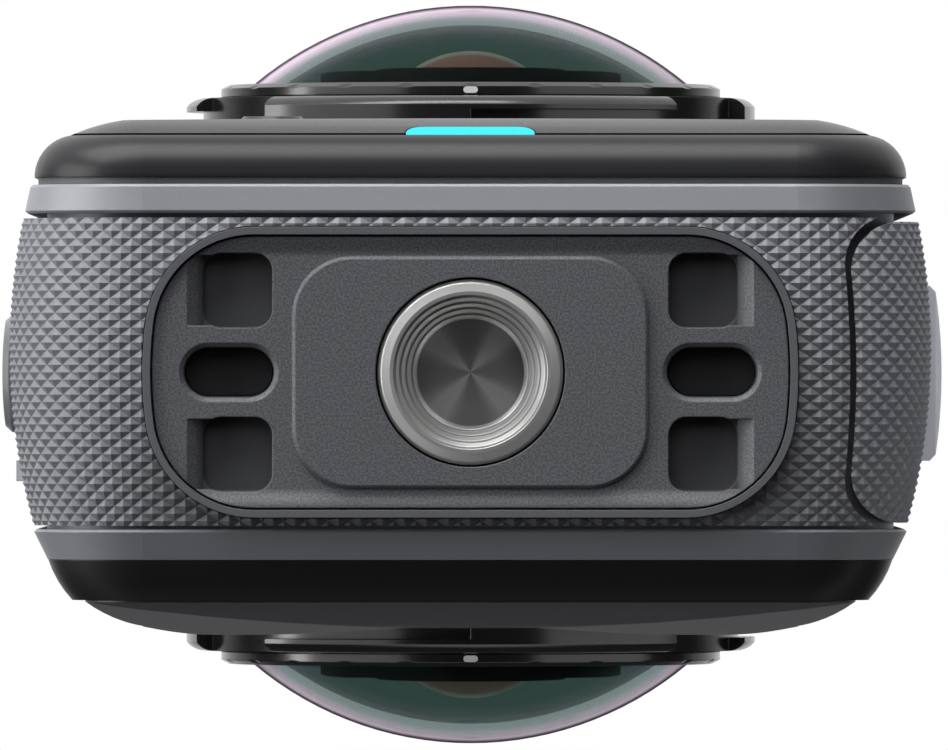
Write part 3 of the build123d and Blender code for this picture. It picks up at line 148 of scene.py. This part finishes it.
class Tree:
    """Short ways to add nodes to a material or the world."""

    def __init__(self, owner):
        owner.use_nodes = True
        self.tree = owner.node_tree
        self.tree.nodes.clear()

    def add(self, kind, **settings):
        made = self.tree.nodes.new(kind)
        for key, value in settings.items():
            setattr(made, key, value)
        return made

    def put(self, target, value):
        """Give a socket a value, or link it to another node's output."""
        if isinstance(value, bpy.types.NodeSocket):
            self.tree.links.new(value, target)
        else:
            target.default_value = value

    def fill(self, made, *values, output=0):
        """Put values into a node's inputs in their order, and give one of its outputs."""
        for socket, value in zip(made.inputs, values):
            self.put(socket, value)
        return made.outputs[output]

    def math(self, operation, *values, clamp=False):
        made = self.add("ShaderNodeMath", operation=operation, use_clamp=clamp)
        return self.fill(made, *values)

    def measure(self, operation, *vectors):
        """A number taken from vectors, such as a length or a dot product."""
        made = self.add("ShaderNodeVectorMath", operation=operation)
        return self.fill(made, *vectors, output=1)

    def map_range(self, value, low, high, at_low=0.0, at_high=1.0, smooth=False):
        kind = "SMOOTHSTEP" if smooth else "LINEAR"
        made = self.add("ShaderNodeMapRange", interpolation_type=kind)
        return self.fill(made, value, low, high, at_low, at_high)

    def ramp(self, value, *stops):
        """Gray ramp through stops of place and shade."""
        made = self.add("ShaderNodeValToRGB")
        self.put(made.inputs[0], value)
        elements = made.color_ramp.elements
        while len(elements) < len(stops):
            elements.new(0.5)
        for element, (place, shade) in zip(elements, stops):
            element.position = place
            element.color = (shade, shade, shade, 1)
        return made.outputs[0]

    def mix(self, share, first, second):
        made = self.add("ShaderNodeMix", data_type="RGBA")
        for number, value in ((0, share), (6, first), (7, second)):
            self.put(made.inputs[number], value)
        return made.outputs[2]

    def place(self):
        return self.add("ShaderNodeTexCoord").outputs["Object"]

    def axes(self, vector=None):
        """X, Y and Z of a vector, or of the place on the object."""
        split = self.add("ShaderNodeSeparateXYZ")
        self.put(split.inputs[0], self.place() if vector is None else vector)
        return split.outputs

    def noise(self, scale, detail, vector=None):
        made = self.add("ShaderNodeTexNoise")
        self.put(made.inputs["Vector"], self.place() if vector is None else vector)
        self.put(made.inputs["Scale"], scale)
        self.put(made.inputs["Detail"], detail)
        return made.outputs[0]

    def bump(self, height, distance, normal):
        made = self.add("ShaderNodeBump")
        self.put(made.inputs["Distance"], distance)
        self.put(made.inputs["Height"], height)
        self.put(made.inputs["Normal"], normal)
        return made.outputs[0]

    def round_edges(self, radius):
        return self.fill(self.add("ShaderNodeBevel", samples=6), radius)

    def edge_mask(self, rounded):
        """1 on convex or concave edges, where the rounded normal leaves the true one."""
        true = self.add("ShaderNodeNewGeometry").outputs["Normal"]
        return self.math("SUBTRACT", 1.0, self.measure("DOT_PRODUCT", rounded, true), clamp=True)

    def turned_away(self):
        """0 where the surface faces the eye, 1 where it is seen edge on."""
        made = self.add("ShaderNodeLayerWeight")
        self.put(made.inputs["Blend"], 0.5)
        return made.outputs["Facing"]

    def light_path(self, *kinds):
        """1 for rays of any of these kinds."""
        path = self.add("ShaderNodeLightPath")
        total = path.outputs[kinds[0]]
        for kind in kinds[1:]:
            total = self.math("MAXIMUM", total, path.outputs[kind])
        return total

    def principled(self, **sockets):
        made = self.add("ShaderNodeBsdfPrincipled")
        for name, value in sockets.items():
            self.put(made.inputs[name.replace("_", " ")], value)
        return made.outputs[0]

    def diffuse(self, color):
        return self.fill(self.add("ShaderNodeBsdfDiffuse"), color)

    def clear(self):
        return self.fill(self.add("ShaderNodeBsdfTransparent"), WHITE)

    def emission(self, strength):
        return self.fill(self.add("ShaderNodeEmission"), WHITE, strength)

    def background(self, level):
        return self.fill(self.add("ShaderNodeBackground"), (level, level, level, 1))

    def mix_shaders(self, share, first, second):
        return self.fill(self.add("ShaderNodeMixShader"), share, first, second)

    def add_shaders(self, first, second):
        return self.fill(self.add("ShaderNodeAddShader"), first, second)

    def output(self, shader, kind="ShaderNodeOutputMaterial"):
        self.put(self.add(kind).inputs[0], shader)


def new_material(name):
    material = bpy.data.materials.new(name)
    return material, Tree(material)


def gray(value):
    """Near-neutral colour with the touch of blue that dark plastics have."""
    return (value * 0.975, value, value * 1.09, 1)


def scaled(color, factor):
    return tuple(min(1.0, part * factor) for part in color[:3]) + (1,)


# Materials. Each finish has mottled colour, grain in its gloss and relief, and lighter edges,
# partly abrasion and partly a painted edge highlight.
def finish(name, color, roughness, grain=0.06, relief=0.004, edge=0.05, wear=1.25, metallic=0.0,
           speckle=1.12, pocket_shade=None, dish=None, shaded_seam=None, **more):
    """Moulded, painted or blasted finish. grain and edge are sizes in mm, relief a height in mm.

    The edge and speckle shares are the shades of lighter edges and of specks, as shares of the
    colour; the lighter edges are partly abrasion, partly a painted edge highlight.
    The recess shade gives the heights in mm between which the colour darkens, a painted shade
    deeper in the recesses, and the share that is left.
    dish gives the distances in mm from the XZ plane between which the surface curls up, and by
    how many mm. The gap shade gives the Y in mm behind which the surface is painted near black,
    a painted shade of the gap to the next part.
    """
    material, tree = new_material(name)
    mottle = tree.noise(MOTTLE_SCALE, 4)
    fine = tree.noise(1 / (grain * MM), 2)
    normal = tree.round_edges(edge * MM)
    # Edges lighten in random patches: partly abrasion, partly a painted edge highlight.
    worn_and_lit = tree.math("MULTIPLY", tree.edge_mask(normal), tree.ramp(mottle, *WEAR_AND_HIGHLIGHT_PATCHES))
    body = tree.mix(mottle, scaled(color, 1 - MOTTLE_TINT), scaled(color, 1 + MOTTLE_TINT))
    speckled = tree.mix(tree.ramp(fine, *SPECKS), body, scaled(color, speckle))
    worn_and_lit = tree.math("MULTIPLY", worn_and_lit, WEAR_AND_HIGHLIGHT_GAIN, clamp=True)
    shade = tree.mix(worn_and_lit, speckled, scaled(color, wear))
    # Painted shade: deeper in the recesses the colour darkens with height.
    if pocket_shade:
        low, high, left = pocket_shade
        shaded_depth = tree.map_range(tree.axes()["Z"], low * MM, high * MM)
        shade = tree.mix(shaded_depth, shade, scaled(color, left))
    if dish:
        near, far, rise = dish
        away = tree.math("ABSOLUTE", tree.axes()["Y"])
        curl = tree.map_range(away, near * MM, far * MM, smooth=True)
        normal = tree.bump(curl, rise * MM, normal)
    shader = tree.principled(
        Base_Color=shade,
        Roughness=tree.math("MULTIPLY_ADD", fine, 2 * GRAIN_GLOSS, roughness - GRAIN_GLOSS),
        Metallic=metallic,
        Normal=tree.bump(fine, relief * MM, normal),
        **more,
    )
    # Painted shade: near black behind the given Y, as the shaded gap to the next part.
    if shaded_seam:
        behind = tree.math("GREATER_THAN", tree.axes()["Y"], shaded_seam * MM)
        shader = tree.mix_shaders(behind, shader, tree.diffuse(gray(SEAM_SHADE)))
    tree.output(shader)
    return material


def turned_steel(name, color, roughness):
    """Steel turned on a lathe about the Z axis: fine rings, and gloss stretched across them.

    On the floor near the axis the colour is brighter and carries a painted reflection in an X;
    the outer lip leans outwards and is coloured brighter, a painted highlight.
    """
    material, tree = new_material(name)
    x, y, height = tree.axes()
    radius = tree.math(
        "SQRT", tree.math("ADD", tree.math("POWER", x, 2.0), tree.math("POWER", y, 2.0)))
    marks = tree.noise(MARK_SCALE, 3, tree.fill(tree.add("ShaderNodeCombineXYZ"), radius, height))
    # Painted reflection: the floor's colour brightens in an X of four arms, where its gloss would
    # shine.
    turn = tree.math("MULTIPLY_ADD", tree.math("ARCTAN2", y, x), 2.0, GLINT_TURN)
    glint_ray = tree.math("ABSOLUTE", tree.math("SINE", turn))
    glint_rays = tree.math("MULTIPLY_ADD", tree.math("POWER", glint_ray, GLINT_SHARPNESS), GLINT_GAIN, GLINT_LEAST)
    glinting_floor = tree.add("ShaderNodeVectorMath", operation="SCALE")
    tree.put(glinting_floor.inputs[0], scaled(color, STEEL_HIGHLIGHT)[:3])
    tree.put(glinting_floor.inputs["Scale"], glint_rays)
    turned = tree.mix(marks, scaled(color, 0.8), scaled(color, 1.15))
    off_disc = tree.map_range(radius, DISC_RADIUS - DISC_EDGE, DISC_RADIUS)
    shade = tree.mix(off_disc, glinting_floor.outputs[0], turned)
    # Painted highlight: the lip and all beyond it coloured brighter than the steel.
    lip_highlight = tree.math("GREATER_THAN", radius, LIP_RADIUS)
    shade = tree.mix(lip_highlight, shade, scaled(color, STEEL_HIGHLIGHT))
    lip = tree.map_range(radius, LIP_RADIUS, LIP_RADIUS + LIP_WIDTH, 1.0, 0.0)
    normal = tree.bump(lip, LIP_RISE, tree.round_edges(0.06 * MM))
    tangent = tree.add("ShaderNodeTangent", direction_type="RADIAL", axis="Z")
    shader = tree.principled(
        Base_Color=shade,
        Metallic=0.7,
        Roughness=tree.math("MULTIPLY_ADD", marks, 0.1, roughness - 0.05),
        Anisotropic=0.8,
        Tangent=tangent.outputs[0],
        Normal=tree.bump(marks, MARK_RELIEF, normal),
    )
    tree.output(shader)
    return material


def glowing(name, color, strength):
    """Frosted light guide, lit from within."""
    material, tree = new_material(name)
    soft = tree.noise(900, 2)
    shade = tree.mix(soft, scaled(color, 0.96), color)
    shader = tree.principled(
        Base_Color=shade,
        Roughness=tree.math("MULTIPLY_ADD", soft, 0.1, 0.5),
        Specular_IOR_Level=0.1,
        Emission_Color=shade,
        Emission_Strength=strength,
        Normal=tree.round_edges(0.08 * MM),
    )
    tree.output(shader)
    return material


def coated_dome(name, tint, coat_glint):
    """Tinted window whose colour turns lilac, then dark, towards its outline: the lilac is a
    painted reflection of its anti-glare coating, the dark outline a painted shade.

    It casts no shadow, so that the lamps light what lies behind it.
    """
    material, tree = new_material(name)
    smudge = tree.noise(250, 3)
    away = tree.turned_away()
    tinted = tree.mix(smudge, scaled(tint, 0.94), tint)
    # Painted reflection: the glass colour turns lilac towards the outline.
    glass = tree.principled(
        Base_Color=tree.mix(tree.ramp(away, *DOME_LILAC_GLINT), tinted, coat_glint),
        Roughness=tree.math("MULTIPLY", smudge, 0.03),
        Transmission_Weight=1.0,
        IOR=1.06,
    )
    # Painted reflection: a lilac diffuse film grows towards the outline.
    film = tree.diffuse(scaled(coat_glint, GLINT_FILM_SHADE))
    coated = tree.mix_shaders(tree.ramp(away, *DOME_GLINT_FILM), glass, film)
    # Painted shade: a dark diffuse outline at the edge.
    dark = tree.diffuse(scaled(coat_glint, OUTLINE_SHADE))
    outlined = tree.mix_shaders(tree.ramp(away, *DOME_SHADE_OUTLINE), coated, dark)
    tree.output(tree.mix_shaders(tree.light_path("Is Shadow Ray"), outlined, tree.clear()))
    return material


def lens_glass(name, color, sheen):
    """Inner element with a dark coppery coating; towards its rim its colour turns pale, a painted
    sheen over the shader's own sheen.
    """
    material, tree = new_material(name)
    smudge = tree.noise(700, 2)
    coppery = tree.mix(smudge, scaled(color, 0.9), color)
    shader = tree.principled(
        # Painted sheen: the base colour turns pale towards the rim.
        Base_Color=tree.mix(tree.ramp(tree.turned_away(), *ELEMENT_SHEEN), coppery, sheen),
        Roughness=tree.math("MULTIPLY_ADD", smudge, 0.05, 0.14),
        Coat_Weight=1.0,
        Coat_Roughness=0.03,
        Sheen_Weight=1.0,
        Sheen_Roughness=0.2,
        Sheen_Tint=sheen,
    )
    tree.output(shader)
    return material


# Finishes by the record's material slots
moulded = {"grain": 0.05, "relief": 0.002}
rubber = {"grain": 0.05, "relief": 0.005, "edge": 0.03, "wear": 1.1}
finishes = {
    "bezel_gray": finish("bezel_paint", gray(0.015), 0.34, grain=0.05, relief=0.0015,
                         Specular_IOR_Level=0.24),
    "seal_black": finish("seal_rubber", gray(0.01), 0.7, grain=0.1, relief=0.006),
    # Panel: its strip behind the lower edge is painted near black, the shade of the gap to the
    # frame.
    "panel_glass": finish("panel_glass", gray(0.02), 0.3, grain=0.2, relief=0.0004, wear=1.3,
                          shaded_seam=-11.27, Specular_IOR_Level=0.35),
    "status_cyan": glowing("status_glow", (0.018, 0.31, 0.37, 1), 1.15),
    "chassis_gray": finish("chassis_anodised", gray(0.2), 0.45, grain=0.04, relief=0.002,
                           metallic=0.15),
    "grip_rubber": finish("grip_rubber", gray(0.145), 0.5, **rubber),
    "cover_rubber": finish("cover_rubber", gray(0.2), 0.5, **rubber),
    "band_black": finish("band_plastic", gray(0.01), 0.38, **moulded),
    "cover_gray": finish("cover_plastic", gray(0.06), 0.4, **moulded),
    # Trim: the high edge share is mostly a painted edge highlight.
    "trim_gray": finish("trim_paint", gray(0.09), 0.4, wear=1.8, **moulded),
    # Base plate: painted shade on the recess floors; its high edge share is mostly a painted edge
    # highlight.
    "base_gray": finish("base_plastic", gray(0.06), 0.48, grain=0.1, relief=0.006, edge=0.1,
                        wear=2.2, speckle=1.9, pocket_shade=(0.7, 1.0, 0.8), dish=(5.45, 6.35, 0.3)),
    "magnet_black": finish("magnet_plastic", gray(0.024), 0.35, grain=0.08, relief=0.002),
    # Socket: painted reflection on its floor and painted highlight on its lip.
    "steel": turned_steel("turned_steel", (0.5, 0.5, 0.495, 1), 0.3),
    "carrier_alloy": finish("carrier_alloy", gray(0.4), 0.4, metallic=1.0),
    "button_black": finish("button_plastic", gray(0.02), 0.3, grain=0.05, relief=0.001),
    "key_gray": finish("key_paint", gray(0.115), 0.36, **moulded),
    "board_green": finish("board_mask", (0.015, 0.07, 0.03, 1), 0.4),
    "switch_black": finish("switch_plastic", gray(0.02), 0.5),
    "battery_wrap": finish("battery_case", gray(0.05), 0.5, grain=0.08, relief=0.006),
    "contact_brass": finish("contact_gold", (0.8, 0.52, 0.18, 1), 0.25, metallic=1.0),
    "latch_gray": finish("latch_plastic", gray(0.55), 0.4, **moulded),
    "screen_black": finish("screen_glass", gray(0.006), 0.12, relief=0.0),
    "spreader_alloy": finish("spreader_sheet", gray(0.35), 0.35, metallic=1.0),
    "index_white": finish("index_paint", (0.55, 0.55, 0.55, 1), 0.45, grain=0.04, relief=0.002),
    "lens_black": finish("lens_plastic", gray(0.006), 0.19, grain=0.05, relief=0.001, wear=2.0,
                         Specular_IOR_Level=0.7),
    # Dome: painted lilac reflection and painted dark outline.
    "dome_glass": coated_dome("dome_glass", (0.165, 0.235, 0.22, 1), (0.72, 0.57, 0.7, 1)),
    "baffle_black": finish("baffle_black", gray(0.005), 0.6, relief=0.002),
    "element_glass": lens_glass("element_coating", (0.46, 0.17, 0.14, 1), (1.0, 0.7, 0.62, 1)),
}
for subpart in frame["record"]["subparts"]:
    nodes[subpart["node"]].data.materials.clear()
    nodes[subpart["node"]].data.materials.append(finishes[subpart["material_slot"]])
nodes["front_gasket"].data.materials[0] = finish("gasket_rubber", gray(0.085), 0.6, grain=0.08)


# Grip lattice: a closed ring round the body, with pyramids on its outer side
def circle_through(points):
    """Centre and radius of the circle through three points."""
    (ax, ay), (bx, by), (cx, cy) = points
    rows = np.array([[bx - ax, by - ay], [cx - ax, cy - ay]]) * 2
    sums = [bx**2 - ax**2 + by**2 - ay**2, cx**2 - ax**2 + cy**2 - ay**2]
    centre = np.linalg.solve(rows, sums)
    return centre, math.dist(centre, (ax, ay))


def make_lattice():
    """The whole ring, wider than the grip. textured() cuts each piece out of it."""
    grip_low, grip_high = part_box("grip_sleeve")
    grip_reach = -grip_low.x
    straight_x = 2 * (grip_reach - GRIP_CORNER)
    straight_z = grip_high.z - grip_low.z - 2 * GRIP_CORNER
    runs = (straight_x / 2, straight_z, straight_x, straight_z, straight_x / 2)
    quarter = GRIP_CORNER * math.pi / 2
    length = sum(runs) + 4 * quarter
    columns = 2 * round(length / LATTICE_ROUND)
    centres = [
        Vector((x * straight_x / 2, z))
        for x, z in (
            (1, grip_low.z + GRIP_CORNER),
            (1, grip_high.z - GRIP_CORNER),
            (-1, grip_high.z - GRIP_CORNER),
            (-1, grip_low.z + GRIP_CORNER),
        )
    ]

    def outline_at(distance):
        """Point on the outline, as (x, z), and its outward direction."""
        start = Vector((0, grip_low.z))
        for index, run in enumerate(runs):
            angle = math.radians(90 * index - 90)
            outward = Vector((math.cos(angle), math.sin(angle)))
            onward = Vector((-outward.y, outward.x))
            if distance <= run or index == len(runs) - 1:
                return start + onward * distance, outward
            distance -= run
            if distance <= quarter:
                angle += distance / GRIP_CORNER
                outward = Vector((math.cos(angle), math.sin(angle)))
                return centres[index] + outward * GRIP_CORNER, outward
            distance -= quarter
            start = centres[index] + onward * GRIP_CORNER

    crown_centre, crown_radius = circle_through(
        [(grip_low.y, GRIP_FRONT_REACH), (0, grip_reach), (grip_high.y, GRIP_BACK_REACH)]
    )
    half_rows = math.ceil((grip_high.y + LATTICE_OVERRUN) / (LATTICE_ACROSS / 2))
    mesh = bmesh.new()
    outline = [outline_at(length * column / columns) for column in range(columns)]

    def vertex(column, y, reach):
        point, outward = outline[column % columns]
        place = point + outward * (reach - grip_reach)
        return mesh.verts.new((place.x, y, place.y))

    rows = []
    for row in range(-half_rows, half_rows + 1):
        y = row * LATTICE_ACROSS / 2
        crown = crown_centre[1] + math.sqrt(crown_radius**2 - (y - crown_centre[0]) ** 2)
        tip = crown - LATTICE_SINK
        reaches = (tip, tip - LATTICE_RISE)
        rows.append([vertex(column, y, reaches[(column + row) % 2]) for column in range(columns)])
    inner = [
        [vertex(column, row * LATTICE_ACROSS / 2, GRIP_INNER_REACH) for column in range(columns)]
        for row in (-half_rows, half_rows)
    ]
    for number, row in enumerate(rows):
        for column in range(columns):
            if (column + number - half_rows) % 2:
                continue
            tip = row[column]
            around = [row[(column + 1) % columns], None, row[column - 1], None]
            if number + 1 < len(rows):
                around[1] = rows[number + 1][column]
            if number:
                around[3] = rows[number - 1][column]
            for first, second in zip(around, around[1:] + around[:1]):
                if first and second:
                    mesh.faces.new((tip, first, second))
    loops = (rows[0], inner[0], inner[1], rows[-1])
    for column in range(columns):
        after = (column + 1) % columns
        for near, far in zip(loops, loops[1:]):
            mesh.faces.new((near[column], near[after], far[after], far[column]))
    bmesh.ops.recalc_face_normals(mesh, faces=mesh.faces)
    made = bpy.data.meshes.new("lattice")
    mesh.to_mesh(made)
    mesh.free()
    return made


def scale_mesh(mesh, factor):
    places = np.concatenate([np.array(vertex.co) * factor for vertex in mesh.vertices])
    mesh.vertices.foreach_set("co", places)


def welded_copy(node):
    """Copy of a CAD node's mesh with its doubled points joined."""
    mesh = bmesh.new()
    mesh.from_mesh(nodes[node].data)
    bmesh.ops.remove_doubles(mesh, verts=mesh.verts, dist=WELD_DISTANCE)
    made = bpy.data.meshes.new(node + "_welded")
    mesh.to_mesh(made)
    mesh.free()
    return made


def textured(name, node, body, slot, lattice):
    """Put in a CAD node's place the part of the lattice that lies inside it."""
    pair = []
    for mesh in (lattice.copy(), welded_copy(node)):
        scale_mesh(mesh, 1 / MM)     # the cut is cleaner in millimetres
        pair.append(bpy.data.objects.new(name, mesh))
        bpy.context.scene.collection.objects.link(pair[-1])
    whole, space = pair
    trim = whole.modifiers.new("trim", "BOOLEAN")
    trim.operation = "INTERSECT"
    trim.solver = "MANIFOLD"
    trim.object = space
    depsgraph = bpy.context.evaluated_depsgraph_get()
    mesh = bpy.data.meshes.new_from_object(whole.evaluated_get(depsgraph))
    for scratch in pair:
        bpy.data.objects.remove(scratch)
    scale_mesh(mesh, MM)
    mesh.materials.clear()
    mesh.materials.append(finishes[slot])
    mesh.shade_flat()
    piece = bpy.data.objects.new(name, mesh)
    bpy.context.scene.collection.objects.link(piece)
    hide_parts(node)
    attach(piece, body)
    print(name, len(mesh.polygons), "faces")


lattice = make_lattice()
textured("grip_lattice", "grip_sleeve", "camera", "grip_rubber", lattice)
textured("battery_cover_lattice", "battery_cover", "battery", "cover_rubber", lattice)
textured("usb_door_lattice", "usb_door", "usb_door", "cover_rubber", lattice)


# Studio
def make_floor():
    """Paper floor that keeps the object's shadow, and shows white to glossy and clear surfaces.

    It shows from above only, so that the camera below sees past it, and it lets the lamps'
    light through from below.
    """
    mesh = bpy.data.meshes.new("floor")
    corners = [
        (x * FLOOR_HALF, y * FLOOR_HALF, -FLOOR_SINK)
        for x, y in ((-1, -1), (1, -1), (1, 1), (-1, 1))
    ]
    mesh.from_pydata(corners, [], [(0, 1, 2, 3)])
    floor = bpy.data.objects.new("floor", mesh)
    bpy.context.scene.collection.objects.link(floor)
    material, tree = new_material("floor_paper")
    distance = tree.measure("LENGTH", tree.place())
    paper = tree.diffuse((PAPER_SHADE, PAPER_SHADE, PAPER_SHADE, 1))
    lit = tree.add_shaders(paper, tree.emission(tree.map_range(distance, *FLOOR_FADE)))
    camera_ray = tree.light_path("Is Camera Ray")
    seen = tree.mix_shaders(camera_ray, paper, lit)
    mirrored = tree.light_path("Is Glossy Ray", "Is Transmission Ray")
    shown = tree.mix_shaders(mirrored, seen, tree.emission(1.0))
    below = tree.add("ShaderNodeNewGeometry").outputs["Backfacing"]
    window = tree.math("MULTIPLY", tree.math("LESS_THAN", distance, FLOOR_WINDOW),
                       tree.math("SUBTRACT", 1.0, camera_ray))
    gap = tree.math("MAXIMUM", below, window)
    gap = tree.math("MAXIMUM", gap, tree.light_path("Is Shadow Ray"))
    tree.output(tree.mix_shaders(gap, shown, tree.clear()))
    mesh.materials.append(material)


def make_world():
    """White behind everything; to glossy surfaces the white lies ahead of and above the object."""
    world = bpy.data.worlds.new("studio")
    bpy.context.scene.world = world
    tree = Tree(world)
    way = tree.add("ShaderNodeTexCoord").outputs["Generated"]
    ahead = tree.ramp(tree.measure("DOT_PRODUCT", way, WHITE_SIDE), *WHITE_FADE)
    above = tree.ramp(tree.axes(way)["Z"], *THROUGH_FADE)
    mirrored = tree.math("MULTIPLY", tree.light_path("Is Glossy Ray"), ahead)
    seen_through = tree.math("MULTIPLY", tree.light_path("Is Transmission Ray"), above)
    shows = tree.math("MAXIMUM", mirrored, seen_through)
    shows = tree.math("MAXIMUM", shows, tree.light_path("Is Camera Ray"))
    studio = tree.mix_shaders(shows, tree.background(AMBIENT), tree.background(1))
    tree.output(studio, "ShaderNodeOutputWorld")


def make_lamp(name, place, size, level, target, mirrored):
    """Softbox that lights a facing surface at its target to this share of full white."""
    offset = Vector(target) - Vector(place)
    data = bpy.data.lights.new(name, "AREA")
    data.shape = "RECTANGLE"
    data.size, data.size_y = size
    data.energy = level * math.pi**2 * offset.length_squared
    lamp = bpy.data.objects.new(name, data)
    lamp.location = place
    lamp.rotation_mode = "QUATERNION"
    lamp.rotation_quaternion = offset.to_track_quat("-Z", "Y")
    lamp.visible_camera = False
    lamp.visible_transmission = False
    lamp.visible_glossy = mirrored
    bpy.context.scene.collection.objects.link(lamp)


def make_camera():
    data = bpy.data.cameras.new("photo_camera")
    data.sensor_width = SENSOR
    data.lens = FOCAL_PX / PHOTO_WIDTH * SENSOR
    data.clip_start = CAMERA_NEAR
    data.clip_end = CAMERA_FAR
    camera = bpy.data.objects.new("photo_camera", data)
    camera.location = CAMERA_PLACE
    offset = Vector(CAMERA_TARGET) - Vector(CAMERA_PLACE)
    camera.rotation_euler = (math.pi + math.atan2(-offset.y, offset.z), 0, 0)
    bpy.context.scene.collection.objects.link(camera)
    bpy.context.scene.camera = camera


make_floor()
make_world()
for lamp in LAMPS:
    make_lamp(*lamp)
make_camera()
bpy.context.scene.view_settings.view_transform = "Standard"
